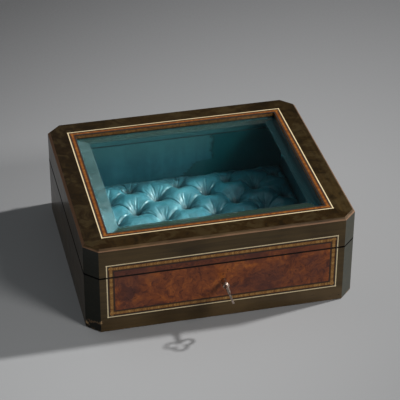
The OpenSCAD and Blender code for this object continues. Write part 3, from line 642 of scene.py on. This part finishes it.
def clear_glass():
    """Old glass with a faint green cast. It lets the lamps through to what lies below it.

    The bevel is ground duller than the flat, and painted reflections and glints on it stand for what its
    faces refract and mirror."""
    s = Sheet("bevelled glass")
    p = s.place()
    x, y = s.split(p)[:2]
    smear = s.noise(p, 28, 4, 0.6)
    in_x = x.abs() - (GLASS_X - GLASS_BEVEL)
    in_y = y.abs() - (GLASS_Y - GLASS_BEVEL)
    bevel = in_x.max(in_y).step(0, 0.4 * MM)
    on_side = (in_x - in_y).over(0)
    at_end = 1 - on_side
    left, right = on_side * (0 - x).over(0), on_side * x.over(0)
    front, rear = at_end * (0 - y).over(0), at_end * y.over(0)
    # Painted reflection: the lit silk's blue along the left side, with painted glints, and darker tones
    # elsewhere
    left_tone = s.mix(y.step(-0.08, -0.03), (0.12, 0.28, 0.30), (0.04, 0.10, 0.096))
    front_tone = s.mix(x.step(-0.02, 0.1), (0.020, 0.038, 0.021), (0.012, 0.027, 0.019))
    glint = left * s.noise(p, 70, 4, 0.7, 0.8).step(0.4, 0.62) * y.step(-0.09, 0.05, 0.55, 0.2)
    bevel_reflection = s.mix(left, (0.033, 0.066, 0.052), left_tone)
    bevel_reflection = s.mix(glint, bevel_reflection, (0.28, 0.44, 0.44))
    bevel_reflection = s.mix(front, bevel_reflection, front_tone)
    bevel_reflection = s.mix(right, bevel_reflection, (0.004, 0.034, 0.040))
    level = bevel * (0.3 + 0.15 * left + 0.5 * front - 0.1 * right) * smear.step(0.2, 0.7, 0.75, 1.1)
    level = level * (1 - rear * x.step(0.0, 0.1) * 0.8)
    body = s.shader(
        "Principled", Base_Color=(0.93, 0.985, 0.975), Transmission_Weight=1.0, IOR=1.5,
        Roughness=smear.step(0.35, 0.8, 0.0, 0.03) + bevel * 0.12,
    )
    clear = s.shader("Transparent", Color=(0.86, 0.93, 0.92))
    dull = s.shader("Principled", Base_Color=bevel_reflection, Roughness=0.6, Specular_IOR_Level=0.1)
    lamp = s.node("ShaderNodeLightPath", out="Is Shadow Ray")
    return s.end(s.blend(level * (1 - lamp), s.blend(lamp, body, clear), dull))


def baize():
    """Felted cloth: short crossing fibres."""
    s = Sheet("baize")
    fibre = s.noise(s.place(), 1500, 4, 0.7, 2.0)
    tone = s.mix(fibre.step(0.3, 0.7), (0.012, 0.022, 0.016), (0.035, 0.06, 0.045))
    return s.finish(
        Base_Color=tone, Roughness=0.95, Sheen_Weight=0.5, Sheen_Roughness=0.5,
        Normal=s.bump(fibre, 0.4 * MM, 0.6),
    )


def paint(material, *nodes):
    """Gives CAD nodes a material."""
    for name in nodes:
        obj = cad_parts[name]
        if not obj.material_slots:
            obj.data.materials.append(material)
        for slot in obj.material_slots:
            slot.material = material


# New meshes: surfaces as numpy grids
def mesh_piece(name, points, faces, material, smooth=True):
    """A mesh object at the origin, from points and from faces given by their points' numbers."""
    mesh = bpy.data.meshes.new(name)
    mesh.from_pydata(np.asarray(points).reshape(-1, 3).tolist(), [], [list(map(int, f)) for f in faces])
    mesh.polygons.foreach_set("use_smooth", [smooth] * len(mesh.polygons))
    mesh.update()
    obj = bpy.data.objects.new(name, mesh)
    bpy.context.collection.objects.link(obj)
    mesh.materials.append(material)
    return obj


def grid_quads(rows, columns, start=0, wrap_columns=False):
    """Quads between neighbouring points of a rows by columns grid, facing up for x, y grids."""
    r = np.arange(rows - 1)
    c = np.arange(columns if wrap_columns else columns - 1)
    r, c = np.meshgrid(r, c, indexing="ij")
    r, c = r.ravel(), c.ravel()
    r1, c1 = r + 1, (c + 1) % columns
    return start + np.stack([r * columns + c, r * columns + c1, r1 * columns + c1, r1 * columns + c], 1)


def grid_border(rows, columns):
    """The numbers of a grid's border points, once round."""
    return np.concatenate([
        np.arange(columns),
        np.arange(1, rows) * columns + columns - 1,
        (rows - 1) * columns + np.arange(columns - 2, -1, -1),
        np.arange(rows - 2, 0, -1) * columns,
    ])


def wave(x, y, seed, scale):
    """A smooth random field: a sum of a few sine waves in random directions."""
    own = np.random.default_rng(seed)
    total = np.zeros_like(x)
    for _ in range(7):
        angle, phase = own.uniform(0, 2 * math.pi, 2)
        pace = scale * own.uniform(0.6, 1.6)
        total += np.sin((x * math.cos(angle) + y * math.sin(angle)) * pace + phase)
    return total / 7


# Cushion: tufted silk, laid by a formula, settled as cloth and then creased
def nearest_button(x, y):
    """Distance from each point to the nearest point of the diamond lattice, and that button's place."""
    best = np.full(x.shape, 1e9)
    spot = np.zeros(x.shape + (2,))
    for shift in (0.0, 0.5):
        bx = (np.round(x / PITCH_X - shift) + shift) * PITCH_X
        by = (np.round(y / PITCH_Y - shift) + shift) * PITCH_Y
        d = np.hypot(x - bx, y - by)
        near = d < best
        best[near] = d[near]
        spot[near, 0] = bx[near]
        spot[near, 1] = by[near]
    return best, spot


def from_edge(x, y):
    """Distance from each point to the cushion's nearest side."""
    return np.minimum(PAD_W / 2 - np.abs(x), PAD_D / 2 - np.abs(y))


def fold_lines(x, y):
    """How far each point is from the two families of fold lines, from -0.5 to 0.5 of their spacing."""
    wx = x + FOLD_WANDER * wave(x, y, 3, 90)
    wy = y + FOLD_WANDER * wave(x, y, 4, 90)
    a = wx / PITCH_X + wy / PITCH_Y
    b = wx / PITCH_X - wy / PITCH_Y
    return a - np.round(a), b - np.round(b)


def pleats(x, y):
    """A sharp crease along each fold line, with the silk behind it lapped over.

    Both are exponentials of the distance from the line. They fade at the buttons and the sides."""
    d = nearest_button(x, y)[0]
    total = np.zeros_like(x)
    for line in fold_lines(x, y):
        off = line * CREASE_SHARPNESS
        total -= CREASE_DEPTH * np.exp(-np.abs(off) / 0.5)
        total += LAP_HEIGHT * np.where(off > 0, np.exp(-off / 1.7), -0.3 * np.exp(off / 1.3))
    at_button = np.exp(-((d / (5 * MM)) ** 2))
    return total * (1 - 0.7 * at_button) * np.clip(from_edge(x, y) / (6 * MM), 0, 1)


def silk_height(x, y):
    """Height of the silk as it is laid, before it settles: full lozenges between the fold lines."""
    fa, fb = (np.abs(v) * 2 for v in fold_lines(x, y))
    d, spot = nearest_button(x, y)
    # each lozenge is a flat pillow: it rises from its folds and is nearly level on top
    bulge = (1 - (1 - fa) ** 2.2) ** 0.8 * (1 - (1 - fb) ** 2.2) ** 0.8
    # a narrow pit at each button, in a wide shallow dish
    well = np.exp(-((d / (5.4 * MM)) ** 2.2))
    dish = np.exp(-((d / (13 * MM)) ** 1.5))
    core = TUFT_DEPTH - FOLD_DEPTH - DISH_DEPTH
    z = CROWN_Z - CROWN_SLACK - FOLD_DEPTH * (1 - bulge) - core * well - DISH_DEPTH * dish
    # gathers fan out from every button and die away over the lozenge
    angle = np.arctan2(y - spot[..., 1], x - spot[..., 0])
    turn = spot[..., 0] * 900 + spot[..., 1] * 700
    fan = np.sin(angle * 17 + turn) * 0.55 + np.sin(angle * 27 + turn * 1.7) * 0.45
    reach = np.exp(-((d / (12.5 * MM)) ** 2)) * (1 - np.exp(-((d / (3.5 * MM)) ** 2)))
    z += GATHER_DEPTH * fan * reach
    z += 0.22 * MM * wave(x, y, 5, 420) + 0.55 * MM * wave(x, y, 6, 130)
    # the sides roll down along a quarter of an ellipse
    t = np.clip(1 - from_edge(x, y) / EDGE_ROLL, 0, 1)
    return z - EDGE_DROP * (1 - np.sqrt(np.clip(1 - t * t, 0, 1)))


CLOTH_SCALE = 10  # the cloth solver works on a mesh ten times the real size
CLOTH_FRAMES = 14
CLOTH_EASE = 0.05


def settle(points, faces, hold):
    """Lets the silk settle as cloth, longer than its laid form by CLOTH_EASE and filled from below.

    hold is the strength with which each point keeps its place. Gives the settled points."""
    mesh = bpy.data.meshes.new("cloth")
    mesh.from_pydata((points * CLOTH_SCALE).tolist(), [], faces.tolist())
    obj = bpy.data.objects.new("cloth", mesh)
    bpy.context.collection.objects.link(obj)
    group = obj.vertex_groups.new(name="hold")
    for level in np.unique(hold):
        group.add(np.flatnonzero(hold == level).tolist(), float(level), "REPLACE")
    cloth = obj.modifiers.new("cloth", "CLOTH")
    c = cloth.settings
    c.quality = 6
    c.mass = 0.15
    c.air_damping = 2.0
    c.tension_stiffness = c.compression_stiffness = 20
    c.shear_stiffness = 12
    c.bending_stiffness = 0.02
    c.tension_damping = c.compression_damping = c.shear_damping = 10
    c.bending_damping = 0.5
    c.vertex_group_mass = "hold"
    c.pin_stiffness = 1.0
    c.use_pressure = True
    c.uniform_pressure_force = 4
    c.shrink_min = -CLOTH_EASE
    c.effector_weights.gravity = 0
    cloth.collision_settings.use_collision = False
    cloth.point_cache.frame_start = 1
    cloth.point_cache.frame_end = CLOTH_FRAMES
    for f in range(1, CLOTH_FRAMES + 1):
        bpy.context.scene.frame_set(f)
    done = obj.evaluated_get(bpy.context.evaluated_depsgraph_get())
    out = np.empty(len(mesh.vertices) * 3)
    done.data.vertices.foreach_get("co", out)
    bpy.data.objects.remove(obj)
    bpy.data.meshes.remove(mesh)
    bpy.context.scene.frame_set(1)
    return out.reshape(-1, 3) / CLOTH_SCALE


def halve(grid):
    """Puts a point between every two neighbours of a grid, on a smooth curve through four of them."""
    for axis in (0, 1):
        g = np.moveaxis(grid, axis, 0)
        wide = np.concatenate([2 * g[:1] - g[1:2], g, 2 * g[-1:] - g[-2:-1]])
        between = (9 * (wide[1:-2] + wide[2:-1]) - wide[:-3] - wide[3:]) / 16
        full = np.empty((2 * len(g) - 1,) + g.shape[1:])
        full[::2], full[1::2] = g, between
        grid = np.moveaxis(full, 0, axis)
    return grid


def make_cushion(material):
    """The silk's surface on a fine grid, closed by a skirt and a flat base at the card."""
    x, y = np.meshgrid(
        np.linspace(-PAD_W / 2, PAD_W / 2, GRID_COLUMNS), np.linspace(-PAD_D / 2, PAD_D / 2, GRID_ROWS)
    )
    top = np.stack([x, y, silk_height(x, y)], -1)
    # the buttons and the sides hold fast, and all else only leans towards its place
    held = (nearest_button(x, y)[0] < 2.5 * MM) | (from_edge(x, y) < 0.5 * MM)
    hold = np.where(held, 1.0, 0.04)
    quads = grid_quads(GRID_ROWS, GRID_COLUMNS)
    top = settle(top.reshape(-1, 3), quads, hold.ravel()).reshape(top.shape)
    top = halve(top)
    top[..., 2] = top[..., 2] + pleats(top[..., 0], top[..., 1])
    top[..., 2] = np.maximum(top[..., 2], CUSHION_LO[2] + 2 * MM)
    rows, columns = top.shape[:2]
    ring = grid_border(rows, columns)
    flat = top.reshape(-1, 3)
    skirt = flat[ring].copy()
    skirt[:, 2] = CUSHION_LO[2]
    below = len(flat) + np.arange(len(ring))
    side = np.stack([np.roll(ring, -1), np.roll(below, -1), below, ring], 1)
    faces = [*grid_quads(rows, columns).tolist(), *side.tolist(), below[::-1].tolist()]
    pad = mesh_piece("cushion_silk", np.concatenate([flat, skirt]), faces, material)
    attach(pad, "base")
    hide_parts("cushion")


def button_spots():
    """The places of the lattice's points, apart from those too close to the cushion's sides."""
    spots = []
    for i in range(-6, 7):
        for j in range(-6, 7):
            x = (i + j) * PITCH_X / 2
            y = (i - j) * PITCH_Y / 2
            if abs(x) < PAD_W / 2 - BUTTON_MARGIN and abs(y) < PAD_D / 2 - BUTTON_MARGIN:
                spots.append((x, y))
    return spots


def make_buttons(material):
    """Covered buttons: a dome with a few puckers at its rim, one for each tuft.

    Each is a fan of triangles at its top, rings of quads, and a fan down to a short tail."""
    u = np.linspace(0, 1, BUTTON_RINGS)[:, None]
    v = np.linspace(0, 2 * math.pi, BUTTON_AROUND, endpoint=False)[None, :]
    c = np.arange(BUTTON_AROUND)
    c1 = (c + 1) % BUTTON_AROUND
    rings = BUTTON_RINGS - 1
    points, faces = [], []
    for k, (cx, cy) in enumerate(button_spots()):
        base = float(silk_height(np.array([cx]), np.array([cy]))[0])
        r = BUTTON_R * np.sin(u * BUTTON_TURN)
        z = base - BUTTON_SINK + BUTTON_H * np.cos(u * BUTTON_TURN)
        z = z + BUTTON_PUCKER * np.sin(v * 9 + k) * u ** 2
        ring = np.stack([cx + r * np.cos(v), cy + r * np.sin(v), z], -1)
        start = k * (rings * BUTTON_AROUND + 2)
        tail = start + 1 + rings * BUTTON_AROUND
        last = tail - BUTTON_AROUND
        points += [
            [[cx, cy, z[0].mean()]],
            ring[1:].reshape(-1, 3),
            [[cx, cy, z[-1].mean() - BUTTON_TAIL]],
        ]
        faces += grid_quads(rings, BUTTON_AROUND, start + 1, wrap_columns=True)[:, ::-1].tolist()
        faces += np.stack([np.full(BUTTON_AROUND, start), start + 1 + c, start + 1 + c1], 1).tolist()
        faces += np.stack([np.full(BUTTON_AROUND, tail), last + c1, last + c], 1).tolist()
    obj = mesh_piece("covered_buttons", np.concatenate(points), faces, material)
    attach(obj, "base")
    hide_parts("cushion_buttons")


# Linings: silk drawn over card, with soft vertical puckers
def lining_levels(low, high, body):
    """Heights of a lining's rows of points: close together at its edges, and for the base at its rim."""
    edges = np.array([0, 0.2, 0.4, 0.7, 1.1]) * MM
    levels = np.concatenate([low + edges, high - edges, np.arange(low + 2.5 * MM, high - 2 * MM, 2 * MM)])
    if body == "base":
        away = levels[np.abs(levels - RIM_Z) > 0.4 * MM]
        levels = np.concatenate([away, [RIM_Z, RIM_Z + 0.05 * MM]])
    return np.sort(levels)


def make_lining(node, body, material, seed, pucker):
    """A closed slab in the CAD lining's place, whose inner face waves by a fraction of a millimetre.

    The part of a base's lining above the rim is set in, to clear the walls of the shut lid."""
    lo, hi = corners(node)
    size = hi - lo
    along = 0 if size[0] > size[1] else 1
    thick = 1 - along
    inward = -np.sign((lo + hi)[thick])
    levels = lining_levels(lo[2], hi[2], body)
    rows, columns = len(levels), max(60, int(size[along] / (1.6 * MM)))
    u, rise = np.meshgrid(np.linspace(0, 1, columns), levels)
    v = (rise - lo[2]) / size[2]
    set_in = np.where((rise > RIM_Z + 0.01 * MM) & (body == "base"), LINING_GAP, 0)
    shorten = np.where(along == 0, set_in, 0)
    run = lo[along] + shorten + u * (size[along] - 2 * shorten)
    # puckers are fullest in the middle, and the edges roll back over the card
    fall = np.sin(math.pi * u) ** 0.3 * np.sin(math.pi * np.clip(v, 0, 1)) ** 0.35
    depth = wave(run, rise * 0.15, seed, 260) * 0.6 + wave(run, rise * 0.4, seed + 1, 700) * 0.4
    roll = 0.35 * MM * (np.clip(1 - v * size[2] / (0.9 * MM), 0, 1) ** 2
                        + np.clip(1 - (1 - v) * size[2] / (0.9 * MM), 0, 1) ** 2)
    back = lo[thick] if inward > 0 else hi[thick]
    front = np.zeros(u.shape + (3,))
    front[..., along], front[..., 2] = run, rise
    front[..., thick] = back + inward * (size[thick] - roll - pucker * (0.6 + 0.5 * depth) * fall)
    rear = front.copy()
    rear[..., thick] = back + inward * set_in
    a, b = front.reshape(-1, 3), rear.reshape(-1, 3)
    n = len(a)
    quads = grid_quads(rows, columns)
    edge = grid_border(rows, columns)
    after = np.roll(edge, -1)
    side = np.stack([edge, n + edge, n + after, after], 1)
    faces = np.concatenate([quads, n + quads[:, ::-1], side])
    # the slab is turned where its front would face the other way
    if (inward if along == 1 else -inward) < 0:
        faces = faces[:, ::-1]
    obj = mesh_piece("silk_" + node, np.concatenate([a, b]), faces, material)
    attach(obj, body)
    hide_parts(node)


# What stands round the box
FLOOR_REACH = 4.0
LAMP_DISTANCE = 5
LAMP_AIM = Vector((0, 0, 0.05))


def make_floor():
    """A plain grey sheet under the box, darker away from it, as the light falls."""
    s = Sheet("floor")
    p = s.place()
    x, y = s.split(p)[:2]
    mottle = s.noise(p, 380, 3, 0.6)
    # Painted light: the floor is brighter towards the front right
    painted_light_slope = (x * 0.35 - y * 0.75).step(-1.2, 0.9)
    tone = s.mix(painted_light_slope, (0.23, 0.23, 0.235), (0.50, 0.50, 0.50))
    # the light falls off as the exponential of a quadratic
    power = x * -0.448 - 0.2357 - y * 0.0832 - x * x * 2.5459 + x * y * 2.0579 - y * y * 2.1005
    tone = s.mix(power.exp().max(0.3), (0, 0, 0), tone)
    tone = s.mix(mottle.step(0.3, 0.7, 0, 0.06), tone, (0.3, 0.3, 0.3))
    material = s.finish(Base_Color=tone, Roughness=0.9, Specular_IOR_Level=0.2)
    r = FLOOR_REACH
    points = [(-r, -r, 0), (r, -r, 0), (r, r, 0), (-r, r, 0)]
    floor = mesh_piece("floor", points, [(0, 1, 2, 3)], material, smooth=False)


def make_lamp(name, towards, size, power):
    """A round lamp that lies towards a direction from the box and faces it."""
    data = bpy.data.lights.new(name, "AREA")
    data.shape = "DISK"
    data.size = size
    data.energy = power
    obj = bpy.data.objects.new(name, data)
    away = Vector(towards).normalized()
    obj.location = away * LAMP_DISTANCE + LAMP_AIM
    obj.rotation_mode = "QUATERNION"
    obj.rotation_quaternion = (-away).to_track_quat("-Z", "Y")
    bpy.context.collection.objects.link(obj)


def make_room():
    """The dim room that the glass and the polish mirror: light on the left, dark on the right."""
    world = bpy.data.worlds.new("room")
    bpy.context.scene.world = world
    world.use_nodes = True
    s = Sheet("room", world.node_tree)
    dx, dy, dz = s.split(s.place("Generated"))
    turn = dx / dy.max(0.05)
    left = (1 - turn.step(0.0, 0.06)) * 0.5
    middle = (1 - turn.step(0.235, 0.25)) * 0.04
    low = (1 - dz.step(0.36, 0.44)) * 0.12
    high = dz.step(0.66, 0.72) * 0.3
    behind = dy.step(0.0, 0.2)
    level = left.max(middle).max(low).max(high).max(0.015) * behind + 0.1 * (1 - behind)
    background = world.node_tree.nodes["Background"]
    background.inputs["Color"].default_value = (0.92, 0.97, 1, 1)
    world.node_tree.links.new(level.socket, background.inputs["Strength"])


make_camera()
make_floor()
make_lamp("key lamp", (52, 7, 43.5), 0.31, 288)
make_lamp("soft box", (0.64, -0.77, 0.73), 1.35, 125)
make_room()

# Woods and cloths of the CAD nodes
BLACK = [(0.3, (0.004, 0.003, 0.002)), (0.7, (0.016, 0.010, 0.007))]
BOXWOOD = [(0.25, (0.46, 0.32, 0.14)), (0.42, (0.76, 0.60, 0.34)), (0.7, (0.90, 0.76, 0.48))]
PINE = [(0.3, (0.25, 0.15, 0.07)), (0.7, (0.48, 0.33, 0.18))]
PULP = [(0.3, (0.3, 0.25, 0.17)), (0.7, (0.42, 0.36, 0.26))]
paint(
    french_polish("polished rosewood, along x", "x"),
    "front_wall", "back_wall", "lid_front_wall", "lid_back_wall", "lid_front_rail", "lid_back_rail",
)
paint(
    french_polish("polished rosewood, along y", "y"),
    "left_wall", "right_wall", "lid_left_wall", "lid_right_wall", "lid_left_rail", "lid_right_rail",
)
paint(burr_veneer(), "base_burr_panel", "lid_burr_panel")
paint(banding("banding on the front", False), "base_banding", "lid_banding")
paint(banding("banding round the glass", True), "top_banding")
paint(
    plain_wood("black line", BLACK, 600, rough=0.6, coat=0),
    "base_black_lines", "lid_black_lines", "top_black_lines",
)
paint(
    plain_wood("boxwood", BOXWOOD, 500, string=True),
    "base_stringing", "lid_stringing", "top_stringing",
)
paint(plain_wood("pine", PINE, 1, rough=0.6, coat=0, runs=(12, 220, 220)), "bottom_board")
paint(plain_wood("pulp board", PULP, 900, rough=0.8, coat=0), "cushion_card")
paint(baize(), "base_cloth")

# Metals and glass
paint(
    metal("aged brass", (0.52, 0.36, 0.13), (0.2, 0.13, 0.055), 0.32),
    "lock_plate", "strike_plate", "strike_loops", "lock_screws", "strike_screws", "hinge_pins",
    "hinge_base_screws", "hinge_lid_screws", "left_hinge_base_leaf", "right_hinge_base_leaf",
    "left_hinge_lid_leaf", "right_hinge_lid_leaf",
)
paint(
    metal("filed steel", (0.42, 0.41, 0.4), (0.16, 0.14, 0.12), 0.36),
    "lock_cover", "lock_bolt", "drill_pin",
)
paint(metal("blued spring", (0.16, 0.19, 0.26), (0.1, 0.1, 0.12), 0.3), "bolt_spring")
paint(metal("worn key", (0.50, 0.40, 0.33), (0.2, 0.15, 0.125), 0.3, 500), "key")
paint(clear_glass(), "glass")

# Silks, and the pieces that are made of them
LINING_DEEP, LINING_PALE = (0.006, 0.060, 0.082), (0.016, 0.100, 0.125)
cushion_silk = silk("cushion silk", (0.012, 0.110, 0.144), (0.068, 0.232, 0.278), buttoned=True)
lining_silk = silk("lining silk", LINING_DEEP, LINING_PALE, streak=0.5)
hazed_silk = silk("torn lining silk", LINING_DEEP, LINING_PALE, streak=0.5, hazed=True)
make_cushion(cushion_silk)
make_buttons(cushion_silk)
for order, side in enumerate(("front", "back", "left", "right")):
    cloth = hazed_silk if side == "back" else lining_silk
    make_lining(side + "_lining", "base", cloth, 20 + 5 * order, 0.3 * MM)
    make_lining("lid_" + side + "_lining", "lid", cloth, 50 + 5 * order, 0.15 * MM)
    paint(lining_silk, side + "_glass_bead")
